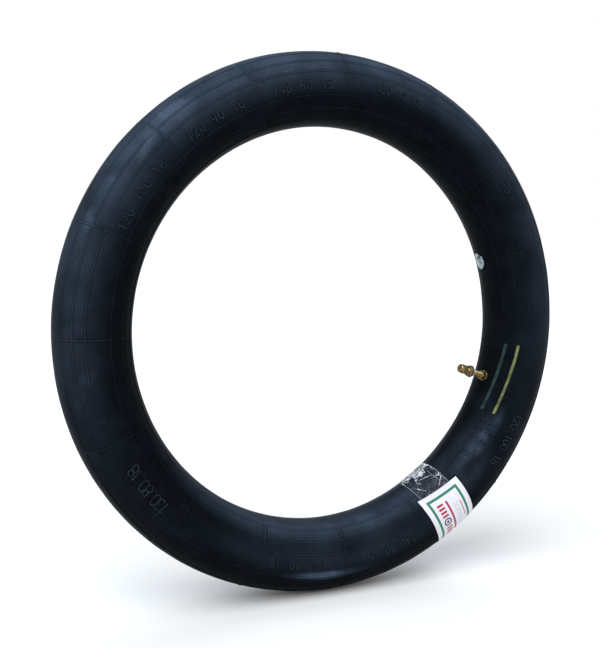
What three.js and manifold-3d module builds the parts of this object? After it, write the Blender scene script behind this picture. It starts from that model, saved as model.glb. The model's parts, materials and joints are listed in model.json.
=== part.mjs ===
// Inner tube for an 18-inch motorcycle rim, with its screw-in valve, valve core and stuck-on trim.
// Millimetres, +Z up. The ring stands upright: its axis is Y and its centre is the origin.
//
// Angles round the ring are degrees from +X towards +Z. Angles round the section are degrees from
// the tread side (0) over the front sidewall (90, facing -Y) to the rim side (180).

import * as THREE from "three";
import { mergeVertices } from "three/addons/utils/BufferGeometryUtils.js";
import Module from "manifold-3d";

const wasm = await Module();
wasm.setup();

// ---------- driving dimensions ----------

const rimWell = 430;          // inner diameter of the ring: the well of an 18-inch rim
const section = 78.5;         // diameter of the inflated section
const wall = 2;               // rubber thickness
const sectionR = section / 2;
const ringR = rimWell / 2 + sectionR;

const ringSteps = 72;         // flats round the ring
const sectionSteps = 28;      // flats round the section
const valveAt = { ring: -18, section: 168 };

const gap = 0.3;              // clearance between neighbouring metal pieces
const skinGap = 0.15;         // clearance under a piece that is bonded to the rubber
const stemR = 7.75 / 2;       // 8V1 valve thread, 0.305 inch
const stemTop = 41;           // height of the stem's end above the tube
const stemHoleR = stemR + gap;
const nutHoleR = stemR + 0.25;
const roundSteps = 32;

const ringStep = 360 / ringSteps;
const sectionStep = 360 / sectionSteps;
const radians = THREE.MathUtils.degToRad;

// ---------- the ring's surface ----------

// A point at a height above the true torus.
function onTorus(ring, around, height) {
  const radial = new THREE.Vector3(Math.cos(radians(ring)), 0, Math.sin(radians(ring)));
  const reach = sectionR + height;
  return radial
    .multiplyScalar(ringR + reach * Math.cos(radians(around)))
    .add(new THREE.Vector3(0, -reach * Math.sin(radians(around)), 0));
}

// A point at a height above the flats that the tube is built from, so that whatever is stuck on
// the tube keeps the same small gap everywhere.
function onFlats(ring, around, height) {
  const u = (ring - valveAt.ring) / ringStep;
  const v = (around - valveAt.section) / sectionStep;
  const u0 = Math.floor(u + 1e-9);
  const v0 = Math.floor(v + 1e-9);
  const corner = (i, j) =>
    onTorus(valveAt.ring + (u0 + i) * ringStep, valveAt.section + (v0 + j) * sectionStep, height);
  const low = corner(0, 0).lerp(corner(1, 0), u - u0);
  const high = corner(0, 1).lerp(corner(1, 1), u - u0);
  return low.lerp(high, v - v0);
}

// The ends of a range, with every fold between the flats inside it.
function stops(from, to, start, step) {
  const list = [from];
  const first = Math.ceil((from - start) / step + 1e-6);
  for (let k = first; start + k * step < to - 1e-6; k += 1) {
    list.push(start + k * step);
  }
  list.push(to);
  return list;
}

const ringStops = (from, to) => stops(from, to, valveAt.ring, ringStep);
const sectionStops = (from, to) => stops(from, to, valveAt.section, sectionStep);

// ---------- shape helpers ----------

function fromTriangles(points, triangles) {
  const geometry = new THREE.BufferGeometry();
  const flat = points.flatMap((p) => [p.x, p.y, p.z]);
  geometry.setAttribute("position", new THREE.Float32BufferAttribute(flat, 3));
  geometry.setIndex(triangles);
  return geometry;
}

// A closed slab between two sheets of points; point(i, j, side) has side 0 below and 1 above.
function slab(columns, rows, point) {
  const points = [];
  for (const side of [0, 1]) {
    for (let i = 0; i < columns; i += 1) {
      for (let j = 0; j < rows; j += 1) {
        points.push(point(i, j, side));
      }
    }
  }
  const at = (i, j, side) => (side * columns + i) * rows + j;
  const triangles = [];
  const quad = (a, b, c, d) => triangles.push(a, c, b, a, d, c);
  for (let i = 0; i + 1 < columns; i += 1) {
    for (let j = 0; j + 1 < rows; j += 1) {
      quad(at(i, j, 1), at(i, j + 1, 1), at(i + 1, j + 1, 1), at(i + 1, j, 1));
      quad(at(i, j, 0), at(i + 1, j, 0), at(i + 1, j + 1, 0), at(i, j + 1, 0));
    }
    quad(at(i, 0, 1), at(i + 1, 0, 1), at(i + 1, 0, 0), at(i, 0, 0));
    quad(at(i, rows - 1, 0), at(i + 1, rows - 1, 0), at(i + 1, rows - 1, 1), at(i, rows - 1, 1));
  }
  for (let j = 0; j + 1 < rows; j += 1) {
    quad(at(0, j, 0), at(0, j + 1, 0), at(0, j + 1, 1), at(0, j, 1));
    quad(at(columns - 1, j, 1), at(columns - 1, j + 1, 1), at(columns - 1, j + 1, 0), at(columns - 1, j, 0));
  }
  return fromTriangles(points, triangles);
}

// A skin on the tube, over a range of both angles and between two heights.
function skin(ringFrom, ringTo, aroundFrom, aroundTo, low, high) {
  const us = ringStops(ringFrom, ringTo);
  const vs = sectionStops(aroundFrom, aroundTo);
  return slab(us.length, vs.length, (i, j, side) => onFlats(us[i], vs[j], side ? high : low));
}

// The whole ring as a solid torus made of flats, at a height above the tube's surface.
function torus(height) {
  const points = [];
  const triangles = [];
  for (let i = 0; i < ringSteps; i += 1) {
    for (let j = 0; j < sectionSteps; j += 1) {
      points.push(onTorus(valveAt.ring + i * ringStep, valveAt.section + j * sectionStep, height));
      const next = ((i + 1) % ringSteps) * sectionSteps;
      const up = (j + 1) % sectionSteps;
      const [a, b] = [i * sectionSteps + j, i * sectionSteps + up];
      triangles.push(a, next + j, next + up, a, next + up, b);
    }
  }
  return fromTriangles(points, triangles);
}

// A turned piece about Z: the profile lists radius and height anticlockwise, and closes itself.
function turned(profile, steps = roundSteps) {
  const points = [...profile, profile[0]].map(([radius, z]) => new THREE.Vector2(radius, z));
  return new THREE.LatheGeometry(points, steps).rotateX(Math.PI / 2);
}

// A round tube about Z.
function pipe(inner, outer, low, high) {
  return turned([[outer, low], [outer, high], [inner, high], [inner, low]]);
}

// An outline extruded along Z, with an optional round hole.
function plate(outline, holeR, low, high) {
  const shape = new THREE.Shape(outline.map(([x, y]) => new THREE.Vector2(x, y)));
  if (holeR > 0) {
    shape.holes.push(new THREE.Path().absarc(0, 0, holeR, 0, 2 * Math.PI, true));
  }
  const options = { depth: high - low, bevelEnabled: false, curveSegments: roundSteps };
  return new THREE.ExtrudeGeometry(shape, options).translate(0, 0, low);
}

// Points of an outline at equal angles, with its radius given for each point's number.
function outlineOf(count, radiusAt) {
  return Array.from({ length: count }, (_, k) => {
    const angle = (2 * Math.PI * k) / count;
    const [x, y] = radiusAt(k, angle);
    return [x * Math.cos(angle), y * Math.sin(angle)];
  });
}

const oval = (halfX, halfY, count = 40) => outlineOf(count, () => [halfX, halfY]);
const polygon = (count, cornerR) => outlineOf(count, () => [cornerR, cornerR]);

function solidOf(geometry) {
  const bare = geometry.clone();
  bare.deleteAttribute("normal");
  bare.deleteAttribute("uv");
  const merged = mergeVertices(bare, 1e-5);
  return new wasm.Manifold(new wasm.Mesh({
    numProp: 3,
    vertProperties: new Float32Array(merged.attributes.position.array),
    triVerts: new Uint32Array(merged.index.array),
  }));
}

function geometryOf(solid) {
  const mesh = solid.getMesh();
  const geometry = new THREE.BufferGeometry();
  geometry.setAttribute("position", new THREE.BufferAttribute(mesh.vertProperties, 3));
  geometry.setIndex(new THREE.BufferAttribute(mesh.triVerts, 1));
  return geometry;
}

// The frame of a spot on the tube: X runs round the ring, Y across it, and Z straight out.
function frameAt(ring, around) {
  const out = onTorus(ring, around, 1).sub(onTorus(ring, around, 0));
  const along = new THREE.Vector3(-Math.sin(radians(ring)), 0, Math.cos(radians(ring)));
  const across = new THREE.Vector3().crossVectors(out, along);
  return new THREE.Matrix4()
    .makeBasis(along, across, out)
    .setPosition(onTorus(ring, around, 0));
}

// An oval pad bonded on the tube about a spot, with an optional round hole at its centre.
function pad(spot, halfAlong, halfAcross, low, high, holeR) {
  const reachRing = THREE.MathUtils.radToDeg(halfAlong / (ringR - sectionR)) + ringStep;
  const reachAround = THREE.MathUtils.radToDeg(halfAcross / sectionR) + sectionStep;
  const sheet = skin(
    spot.ring - reachRing, spot.ring + reachRing,
    spot.section - reachAround, spot.section + reachAround, low, high,
  );
  const cutter = plate(oval(halfAlong, halfAcross, 48), holeR, -sectionR / 2, sectionR / 2);
  cutter.applyMatrix4(frameAt(spot.ring, spot.section));
  return geometryOf(solidOf(sheet).intersect(solidOf(cutter)));
}

// ---------- the object ----------

const innerTube = new THREE.Group();
innerTube.name = "inner_tube";
const valve = new THREE.Group();
valve.name = "valve";
frameAt(valveAt.ring, valveAt.section).decompose(valve.position, valve.quaternion, valve.scale);
innerTube.add(valve);

const finishes = {
  rubber: { color: 0x1c232b, roughness: 0.62, metalness: 0 },
  moulded: { color: 0x15181c, roughness: 0.7, metalness: 0 },
  brass: { color: 0xb08d4c, roughness: 0.32, metalness: 1 },
  nickel: { color: 0xb9b7b0, roughness: 0.3, metalness: 1 },
  steel: { color: 0x9a9ca0, roughness: 0.35, metalness: 1 },
  ptfe: { color: 0xa8322c, roughness: 0.5, metalness: 0 },
  clear: { color: 0xdfe6ee, roughness: 0.12, metalness: 0, transparent: true, opacity: 0.35 },
  paper: { color: 0xf2f2ee, roughness: 0.75, metalness: 0 },
  yellow: { color: 0xc9cf6a, roughness: 0.6, metalness: 0 },
  green: { color: 0x2c6a62, roughness: 0.6, metalness: 0 },
  foil: { color: 0xc4ccd4, roughness: 0.12, metalness: 1 },
};

function add(parent, name, geometry, finish) {
  const mesh = new THREE.Mesh(geometry, new THREE.MeshStandardMaterial(finishes[finish]));
  mesh.name = name;
  parent.add(mesh);
}

// The hollow rubber ring, with the hole that the valve stem comes through.
function tubeShell() {
  const hole = pipe(0, stemHoleR, -4 * wall, 2 * wall);
  hole.applyMatrix4(frameAt(valveAt.ring, valveAt.section));
  return geometryOf(solidOf(torus(0)).subtract(solidOf(torus(-wall))).subtract(solidOf(hole)));
}

add(innerTube, "tube_shell", tubeShell(), "rubber");

// The valve's rubber base: an oval patch bonded on the tube round the stem.
const patchHalf = { along: 22, across: 12.5 };
const patchTop = 1.8;

add(innerTube, "valve_patch", pad(valveAt, patchHalf.along, patchHalf.across, skinGap, patchTop, stemHoleR), "moulded");

// The brass stem: a flange inside the tube, a threaded barrel, and the stepped bore of the core.
const flange = { radius: 7, low: -4.3, high: -3.1 };
const bore = { mouthR: 2.7, chamberR: 2.2, airR: 1.3 };
const coreSeat = 31.2;        // where the mouth of the bore narrows to the chamber
const chamberLow = 17.4;      // where the chamber narrows to the air hole

function valveStem() {
  return turned([
    [flange.radius, flange.low], [flange.radius, flange.high], [stemR, flange.high],
    [stemR, stemTop - 0.5], [stemR - 0.5, stemTop], [bore.mouthR, stemTop],
    [bore.mouthR, coreSeat + 0.5], [bore.chamberR, coreSeat], [bore.chamberR, chamberLow],
    [bore.airR, chamberLow - 0.9], [bore.airR, flange.low],
  ]);
}

add(valve, "valve_stem", valveStem(), "brass");

// The clamp at the foot of the stem, and the pair that goes on from the other side of the rim.
const footWasher = { radius: 6, low: patchTop + gap, high: patchTop + gap + 1 };
const hexNut = { flats: 10, low: footWasher.high + gap, high: footWasher.high + gap + 3.5 };
const flatWasher = { low: 25.5, high: 26.5 };
const ringNut = { low: flatWasher.high + gap, high: flatWasher.high + gap + 3.2 };
const knurls = 36;

function hexagonNut() {
  const corner = hexNut.flats / 2 / Math.cos(Math.PI / 6);
  return plate(polygon(6, corner), nutHoleR, hexNut.low, hexNut.high);
}

function knurledNut() {
  const outline = outlineOf(2 * knurls, (k) => (k % 2 ? [6.5, 6.5] : [6.15, 6.15]));
  return plate(outline, nutHoleR, ringNut.low, ringNut.high);
}

add(valve, "foot_washer", pipe(nutHoleR, footWasher.radius, footWasher.low, footWasher.high), "brass");
add(valve, "hex_nut", hexagonNut(), "brass");
add(valve, "flat_washer", pipe(nutHoleR, 7, flatWasher.low, flatWasher.high), "nickel");
add(valve, "ring_nut", knurledNut(), "brass");

// The dust cap, and the rubber disc that seals it on the stem's end.
const capLow = 34.2;
const capSeal = { radius: 3.6, low: stemTop + gap, high: stemTop + gap + 1.4 };
const capCeiling = capSeal.high + gap;
const capGrips = 24;

function capShell() {
  const outline = outlineOf(2 * capGrips, (k) => (k % 2 ? [5.3, 5.3] : [5.05, 5.05]));
  const body = solidOf(plate(outline, 0, capLow, capCeiling + 1.5));
  const crown = turned([[0, capLow], [5.3, capLow], [5.3, capCeiling + 0.3], [3.6, capCeiling + 1.6], [0, capCeiling + 1.6]]);
  return geometryOf(body.intersect(solidOf(crown)).subtract(solidOf(pipe(0, nutHoleR, capLow - 1, capCeiling))));
}

add(valve, "cap_seal", pipe(0, capSeal.radius, capSeal.low, capSeal.high), "moulded");
add(valve, "cap_shell", capShell(), "brass");

// The valve core: the screwed head, its gasket and barrel stay put, and the sprung pin slides
// through them with its collar, cup and seal.
const coreHead = { low: 34.1, high: 38.8, radius: 2.5, holeR: 0.85 };
const gasket = { low: coreSeat + gap + 0.2, high: coreHead.low - gap };
const barrel = { low: 22, high: coreHead.low - gap, innerR: 1.2, outerR: 1.7, lipR: 0.75 };
const pin = { low: 19.9, high: 40.4, radius: 0.5 };
const collar = { low: 32.3, high: 33.2 };
const cup = { low: 19.6, high: 21.3, innerR: 1.5, outerR: 1.85, floor: 0.6 };
const spring = { low: barrel.low + 1.5, high: collar.low - 0.3, radius: 0.93, wireR: 0.14, turns: 7 };

// The head's upper half is ground to two flats, for the key that screws it in.
function coreHeadShape() {
  const body = solidOf(pipe(coreHead.holeR, coreHead.radius, coreHead.low, coreHead.high));
  const flatAt = 1.5;
  const cut = new THREE.BoxGeometry(4, 8, 4);
  const high = (coreHead.low + coreHead.high) / 2 + 2;
  const sides = [-1, 1].map((side) => solidOf(cut.clone().translate(side * (flatAt + 2), 0, high)));
  return geometryOf(body.subtract(sides[0]).subtract(sides[1]));
}

function barrelShape() {
  return turned([
    [barrel.outerR, barrel.low], [barrel.outerR, barrel.high], [barrel.innerR, barrel.high],
    [barrel.innerR, barrel.low + 1.2], [barrel.lipR, barrel.low + 1.2], [barrel.lipR, barrel.low],
  ], 24);
}

function cupShape() {
  const hole = pin.radius + 0.15;
  return turned([
    [cup.outerR, cup.low], [cup.outerR, cup.high], [cup.innerR, cup.high],
    [cup.innerR, cup.low + cup.floor], [hole, cup.low + cup.floor], [hole, cup.low],
  ], 24);
}

class Helix extends THREE.Curve {
  constructor(radius, low, high, turns) {
    super();
    Object.assign(this, { radius, low, high, turns });
  }

  getPoint(t, target = new THREE.Vector3()) {
    const angle = 2 * Math.PI * this.turns * t;
    const z = this.low + (this.high - this.low) * t;
    return target.set(this.radius * Math.cos(angle), this.radius * Math.sin(angle), z);
  }
}

function springShape() {
  const wire = new THREE.Shape(polygon(6, spring.wireR).map(([x, y]) => new THREE.Vector2(x, y)));
  const ends = [spring.low + spring.wireR, spring.high - spring.wireR];
  const path = new Helix(spring.radius, ...ends, spring.turns);
  return new THREE.ExtrudeGeometry(wire, { steps: 12 * spring.turns, extrudePath: path, bevelEnabled: false });
}

add(valve, "core_head", coreHeadShape(), "nickel");
add(valve, "core_gasket", turned([
  [2.2, gasket.low], [2.45, gasket.high], [barrel.outerR + 0.15, gasket.high], [barrel.outerR + 0.15, gasket.low],
], 24), "ptfe");
add(valve, "core_barrel", barrelShape(), "brass");
add(valve, "core_pin", pipe(0, pin.radius, pin.low, pin.high), "steel");
add(valve, "pin_collar", pipe(pin.radius + 0.1, 1.05, collar.low, collar.high), "brass");
add(valve, "core_spring", springShape(), "steel");
add(valve, "core_cup", cupShape(), "brass");
add(valve, "cup_seal", pipe(pin.radius + 0.15, cup.innerR - 0.1, cup.low + cup.floor + 0.1, barrel.low - 0.15), "moulded");

// Trim: a paper band round the outside of the tube, whose ends a clear tape holds over the rim
// side, two marking stripes, and a small domed foil sticker.
const bandAt = 303.9;         // where the paper band sits on the ring
const bandHalf = 6.2;         // half its width, in degrees of the ring
const bandEnd = 129;          // how far it reaches round each sidewall
const tapeAt = 303.3;
const tapeHalf = 5.2;
const tapeLap = 9;            // overlap of tape and paper, in degrees of the section
const paper = { low: skinGap, high: 0.4 };
const tape = { low: paper.high + 0.15, high: paper.high + 0.35 };

add(innerTube, "paper_band",
  skin(bandAt - bandHalf, bandAt + bandHalf, -bandEnd, bandEnd, paper.low, paper.high), "paper");
add(innerTube, "clear_tape",
  skin(tapeAt - tapeHalf, tapeAt + tapeHalf, bandEnd - tapeLap, 360 - bandEnd + tapeLap, tape.low, tape.high), "clear");

// A stripe runs slantwise from one spot on the tube to another.
function stripe(from, to, width) {
  const us = ringStops(from.ring, to.ring);
  const half = THREE.MathUtils.radToDeg(width / 2 / sectionR);
  return slab(us.length, 2, (i, j, side) => {
    const share = (us[i] - from.ring) / (to.ring - from.ring);
    const middle = THREE.MathUtils.lerp(from.section, to.section, share);
    return onFlats(us[i], middle + (j ? half : -half), side ? 0.4 : 0.2);
  });
}

add(innerTube, "stripe_yellow", stripe({ ring: -28, section: 129 }, { ring: -7, section: 119 }, 3.2), "yellow");
add(innerTube, "stripe_green", stripe({ ring: -28, section: 151 }, { ring: -7, section: 140 }, 3.7), "green");
add(innerTube, "foil_sticker", pad({ ring: 18.8, section: 189 }, 10, 10, skinGap, 1.1, 0), "foil");

export default innerTube;
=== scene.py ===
import json
import math

import bpy
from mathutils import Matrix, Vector, noise


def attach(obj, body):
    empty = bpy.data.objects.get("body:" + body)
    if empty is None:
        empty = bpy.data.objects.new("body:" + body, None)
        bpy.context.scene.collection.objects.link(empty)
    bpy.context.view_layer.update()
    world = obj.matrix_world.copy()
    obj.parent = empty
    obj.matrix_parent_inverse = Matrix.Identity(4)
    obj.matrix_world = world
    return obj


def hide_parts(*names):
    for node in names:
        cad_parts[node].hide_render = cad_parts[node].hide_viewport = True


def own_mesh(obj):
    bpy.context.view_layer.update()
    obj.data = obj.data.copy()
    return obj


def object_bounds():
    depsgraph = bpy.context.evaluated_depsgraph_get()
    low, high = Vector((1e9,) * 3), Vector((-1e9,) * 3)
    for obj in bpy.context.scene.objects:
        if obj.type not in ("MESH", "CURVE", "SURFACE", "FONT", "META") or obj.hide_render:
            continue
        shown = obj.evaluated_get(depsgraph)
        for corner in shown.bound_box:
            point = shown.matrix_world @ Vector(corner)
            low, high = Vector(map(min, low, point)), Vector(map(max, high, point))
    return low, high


# An inflated inner tube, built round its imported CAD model. Lengths are metres and angles degrees.
# A ring angle runs from +X towards +Z. A section angle runs from the tread side (0) over the
# front sidewall (90, facing -Y) to the rim side (180), and its negative is the back.

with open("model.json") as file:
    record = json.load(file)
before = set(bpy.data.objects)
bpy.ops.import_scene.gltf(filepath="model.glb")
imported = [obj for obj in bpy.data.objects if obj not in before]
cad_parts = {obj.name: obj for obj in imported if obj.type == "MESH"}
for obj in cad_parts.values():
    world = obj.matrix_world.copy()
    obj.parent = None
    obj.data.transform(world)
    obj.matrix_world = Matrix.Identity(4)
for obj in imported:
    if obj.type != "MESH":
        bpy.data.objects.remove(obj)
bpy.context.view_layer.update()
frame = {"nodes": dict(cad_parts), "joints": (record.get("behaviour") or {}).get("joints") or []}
MM = 0.001

# ---------- places, read from the frame ----------


def joint_row(name):
    return next(j for j in frame["joints"] if j["name"] == name)


cap_joint = joint_row("cap_turn")
foot = Vector(cap_joint["pos_m"])           # where the valve's axis leaves the tube
axis = Vector(cap_joint["axis"]).normalized()
foot_reach = math.hypot(foot.x, foot.z)
foot_out = Vector((foot.x, 0, foot.z)) / foot_reach
TUBE = foot.y / axis.y                      # radius of the section
RING = foot_reach - TUBE * axis.dot(foot_out)
VALVE_RING = math.degrees(math.atan2(foot.z, foot.x))
VALVE_AROUND = math.degrees(math.atan2(-axis.y, axis.dot(foot_out)))
ring_way = Vector((-foot_out.z, 0, foot_out.x))
cross_way = axis.cross(ring_way)


def surface(ring, around, height=0.0):
    """A point at a height over the tube's surface."""
    u, v = math.radians(ring), math.radians(around)
    reach = TUBE + height
    radial = RING + reach * math.cos(v)
    return Vector((radial * math.cos(u), -reach * math.sin(v), radial * math.sin(u)))


def outward(ring, around):
    """The direction that points straight out of the tube."""
    u, v = math.radians(ring), math.radians(around)
    return Vector((math.cos(v) * math.cos(u), -math.sin(v), math.cos(v) * math.sin(u)))


def on_valve(radius, height, angle):
    """A point in the valve's own frame: height is along its axis from the tube."""
    side = ring_way * math.cos(angle) + cross_way * math.sin(angle)
    return foot + side * radius + axis * height


def along_valve(node):
    """A node's lowest and highest height on the valve's axis, and its widest and narrowest radius."""
    heights, radii = [], []
    for vertex in frame["nodes"][node].data.vertices:
        offset = vertex.co - foot
        height = offset.dot(axis)
        heights.append(height)
        radii.append((offset - axis * height).length)
    return min(heights), max(heights), max(radii), min(radii)


def spans(node):
    """The lowest and highest ring and section angles of a node stuck on the tube."""
    rings, arounds = [], []
    for vertex in frame["nodes"][node].data.vertices:
        p = vertex.co
        rings.append(math.degrees(math.atan2(p.z, p.x)))
        arounds.append(math.degrees(math.atan2(-p.y, math.hypot(p.x, p.z) - RING)))
    return min(rings), max(rings), min(arounds), max(arounds)


def degrees_round(length):
    """The section angle that a length round the tube's section takes up."""
    return math.degrees(length / TUBE)


def degrees_along(length, around=90.0):
    """The ring angle that a length along the ring takes up, at a section angle."""
    return math.degrees(length / (RING + TUBE * math.cos(math.radians(around))))


# ---------- mesh helpers ----------


def placed(name, data):
    """A new object in the scene."""
    made = bpy.data.objects.new(name, data)
    bpy.context.scene.collection.objects.link(made)
    return made


def new_object(name, points, faces, body, material, stands_for=()):
    """A smooth mesh piece that rides on a body, takes a material slot and may stand for CAD nodes."""
    mesh = bpy.data.meshes.new(name)
    mesh.from_pydata([tuple(p) for p in points], [], faces)
    mesh.validate()
    mesh.update()
    mesh.materials.append(material)
    for polygon in mesh.polygons:
        polygon.use_smooth = True
    piece = placed(name, mesh)
    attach(piece, body)
    if stands_for:
        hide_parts(*stands_for)
    return piece


def paint(piece, name, values):
    """Stores one number at each point, for the piece's material."""
    piece.data.attributes.new(name, "FLOAT", "POINT").data.foreach_set("value", values)


def sharpen(piece, angle=35):
    """Keeps edges crisp where the faces meet at more than an angle."""
    mesh = piece.data
    faces_of = {}
    for polygon in mesh.polygons:
        for key in polygon.edge_keys:
            faces_of.setdefault(key, []).append(polygon.normal)
    limit = math.cos(math.radians(angle))
    for edge in mesh.edges:
        normals = faces_of.get(edge.key, [])
        if len(normals) == 2 and normals[0].dot(normals[1]) < limit:
            edge.use_edge_sharp = True


def loop_faces(columns, rows):
    """Faces of a grid that closes on itself both ways."""
    faces = []
    for i in range(columns):
        here, there = i * rows, (i + 1) % columns * rows
        for j in range(rows):
            after = (j + 1) % rows
            faces.append((here + j, there + j, there + after, here + after))
    return faces


def band_faces(start, rows, steps):
    """Faces between rings of points that follow each other, each of a number of steps."""
    faces = []
    for j in range(rows - 1):
        for i in range(steps):
            a, b = start + j * steps + i, start + j * steps + (i + 1) % steps
            faces.append((a, a + steps, b + steps, b))
    return faces


def revolve(name, steps, profile, body, material, stands_for=()):
    """A ring-shaped solid on the valve's axis: profile(angle) gives a closed loop of (radius, height)."""
    angles = [2 * math.pi * i / steps for i in range(steps)]
    loops = [profile(angle) for angle in angles]
    points = [on_valve(*spot, angle=angle) for angle, loop in zip(angles, loops) for spot in loop]
    faces = loop_faces(steps, len(loops[0]))
    sharpen(new_object(name, points, faces, body, material, stands_for))


def slab(name, us, vs, point, material, node):
    """A thin closed sheet on the tube; point(u, v, side) has side 0 below and 1 above."""
    columns, rows = len(us), len(vs)
    points = [point(u, v, side) for side in (0, 1) for u in us for v in vs]

    def at(i, j, side):
        return (side * columns + i) * rows + j

    faces = []
    for i in range(columns - 1):
        for j in range(rows - 1):
            faces.append((at(i, j, 1), at(i + 1, j, 1), at(i + 1, j + 1, 1), at(i, j + 1, 1)))
            faces.append((at(i, j, 0), at(i, j + 1, 0), at(i + 1, j + 1, 0), at(i + 1, j, 0)))
        faces.append((at(i, 0, 1), at(i, 0, 0), at(i + 1, 0, 0), at(i + 1, 0, 1)))
        last = rows - 1
        faces.append((at(i, last, 0), at(i, last, 1), at(i + 1, last, 1), at(i + 1, last, 0)))
    for j in range(rows - 1):
        faces.append((at(0, j, 0), at(0, j, 1), at(0, j + 1, 1), at(0, j + 1, 0)))
        last = columns - 1
        faces.append((at(last, j, 1), at(last, j, 0), at(last, j + 1, 0), at(last, j + 1, 1)))
    add_sheet_uv(new_object(name, points, faces, "root", material, [node]), us, vs)


def add_sheet_uv(piece, us, vs):
    """A UV map that holds each point's own u and v."""
    layer = piece.data.uv_layers.new(name="place")
    for loop in piece.data.loops:
        column, row = divmod(loop.vertex_index % (len(us) * len(vs)), len(vs))
        layer.data[loop.index].uv = (us[column], vs[row])


def even(low, high, count):
    """Evenly spaced values from low to high, both included."""
    return [low + (high - low) * k / (count - 1) for k in range(count)]


def smooth(low, high, value):
    """Rises smoothly from 0 at low to 1 at high."""
    share = min(1.0, max(0.0, (value - low) / (high - low)))
    return share * share * (3 - 2 * share)


def wrapped(angle):
    """The same angle, from -180 up to 180."""
    return (angle + 180) % 360 - 180


# ---------- material helpers ----------


class Graph:
    """A material's nodes, added by short calls."""

    def __init__(self, name):
        self.material = bpy.data.materials.new(name)
        self.material.use_nodes = True
        self.nodes = self.material.node_tree.nodes
        self.links = self.material.node_tree.links
        self.nodes.clear()
        output = self.nodes.new("ShaderNodeOutputMaterial")
        self.shader = self.nodes.new("ShaderNodeBsdfPrincipled")
        self.links.new(self.shader.outputs["BSDF"], output.inputs["Surface"])

    def put(self, target, value):
        """Links a node's output to a socket, or sets the socket to a plain value."""
        if isinstance(value, bpy.types.NodeSocket):
            self.links.new(value, target)
        elif value is not None:
            target.default_value = value

    def set(self, **values):
        for key, value in values.items():
            self.put(self.shader.inputs[key.replace("_", " ")], value)

    def add(self, kind, inputs=(), out=0, **settings):
        """Adds a node and gives one of its outputs."""
        made = self.nodes.new("ShaderNode" + kind)
        for key, value in settings.items():
            setattr(made, key, value)
        for key, value in dict(inputs).items():
            self.put(made.inputs[key], value)
        return made.outputs[out]

    def place(self):
        return self.add("TexCoord", out="Object")

    def sheet_place(self):
        """The u and v of a sheet's own UV map."""
        split = self.nodes.new("ShaderNodeSeparateXYZ")
        self.put(split.inputs[0], self.add("UVMap", uv_map="place"))
        return split.outputs[0], split.outputs[1]

    def noise(self, scale, detail, rough, vector=None):
        inputs = {"Vector": vector or self.place(), "Scale": scale, "Detail": detail, "Roughness": rough}
        return self.add("TexNoise", inputs)

    def math(self, operation, a, b=None, clamp=False):
        return self.add("Math", {0: a, 1: b}, operation=operation, use_clamp=clamp)

    def ramp(self, value, low, high, start=0.0, end=1.0):
        inputs = {"Value": value, 1: low, 2: high, 3: start, 4: end}
        return self.add("MapRange", inputs, interpolation_type="SMOOTHSTEP")

    def mix(self, share, a, b):
        made = self.nodes.new("ShaderNodeMix")
        made.data_type = "RGBA"
        self.put(made.inputs["Factor"], share)
        self.put(made.inputs["A"], (*a, 1) if isinstance(a, tuple) else a)
        self.put(made.inputs["B"], (*b, 1) if isinstance(b, tuple) else b)
        return made.outputs["Result"]

    def bump(self, height, strength, distance):
        return self.add("Bump", {"Height": height, "Strength": strength, "Distance": distance})


def rubber(name):
    """Butyl rubber: near black, finely grained, paler where talc lies, in the same bluish patches as
    painted sky light, and paler on crests, where they are rubbed and painted as highlights.
    """
    g = Graph(name)
    grain = g.noise(1500, 2, 0.6)
    speck = g.noise(520, 4, 0.7)
    dust = g.ramp(g.noise(17, 5, 0.62), 0.50, 0.80, 0.0, 0.035)
    talc_and_painted_light_mask = g.math("ADD", dust, g.add("Attribute", attribute_name="talc_and_painted_light", out="Fac"), clamp=True)
    talc_and_painted_light_mask = g.math("MULTIPLY", talc_and_painted_light_mask, g.ramp(speck, 0.30, 0.72, 0.74, 1.0))
    crest = g.add("Attribute", attribute_name="crest", out="Fac")
    rubbed_and_lit_crest = g.math("MULTIPLY", crest, g.ramp(g.noise(190, 3, 0.6), 0.30, 0.62, 0.40, 1.0), clamp=True)
    dark, light = (0.0019, 0.0030, 0.0043), (0.0032, 0.0047, 0.0066)
    talc_and_sky_light_colour, rubbed_and_lit_crest_colour = (0.057, 0.082, 0.126), (0.034, 0.044, 0.060)
    tone = g.mix(g.ramp(g.noise(60, 4, 0.5), 0.3, 0.7), dark, light)
    # Pale bluish talc colour, which also serves as painted sky light on the upper and upward-facing parts.
    tone = g.mix(talc_and_painted_light_mask, tone, talc_and_sky_light_colour)
    # Rib crests and the tops of numerals are painted lighter: rubbing together with painted highlight.
    g.set(Base_Color=g.mix(rubbed_and_lit_crest, tone, rubbed_and_lit_crest_colour))
    g.set(Roughness=g.ramp(g.math("ADD", talc_and_painted_light_mask, rubbed_and_lit_crest), 0.0, 0.8, 0.44, 0.66), Specular_IOR_Level=0.014)
    g.set(Specular_Tint=(0.80, 0.92, 1.0, 1.0))
    height = g.math("ADD", g.math("MULTIPLY", grain, 0.35), g.math("MULTIPLY", g.noise(240, 4, 0.6), 0.65))
    g.set(Normal=g.bump(height, 0.30, 0.00022))
    return g.material


def metal(name, dark, light, rough):
    """Turned metal: fine grain, small stains and worn bright spots."""
    g = Graph(name)
    stain = g.noise(260, 5, 0.6)
    grain = g.noise(5200, 2, 0.5)
    worn = g.ramp(g.noise(900, 3, 0.6), 0.45, 0.7)
    g.set(Base_Color=g.mix(g.ramp(stain, 0.3, 0.7), dark, light), Metallic=1.0)
    wear = g.math("ADD", g.math("MULTIPLY", stain, 0.6), g.math("MULTIPLY", worn, 0.4))
    g.set(Roughness=g.ramp(wear, 0.2, 0.8, rough + 0.16, rough))
    g.set(Normal=g.bump(grain, 0.2, 0.00006))
    return g.material


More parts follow.
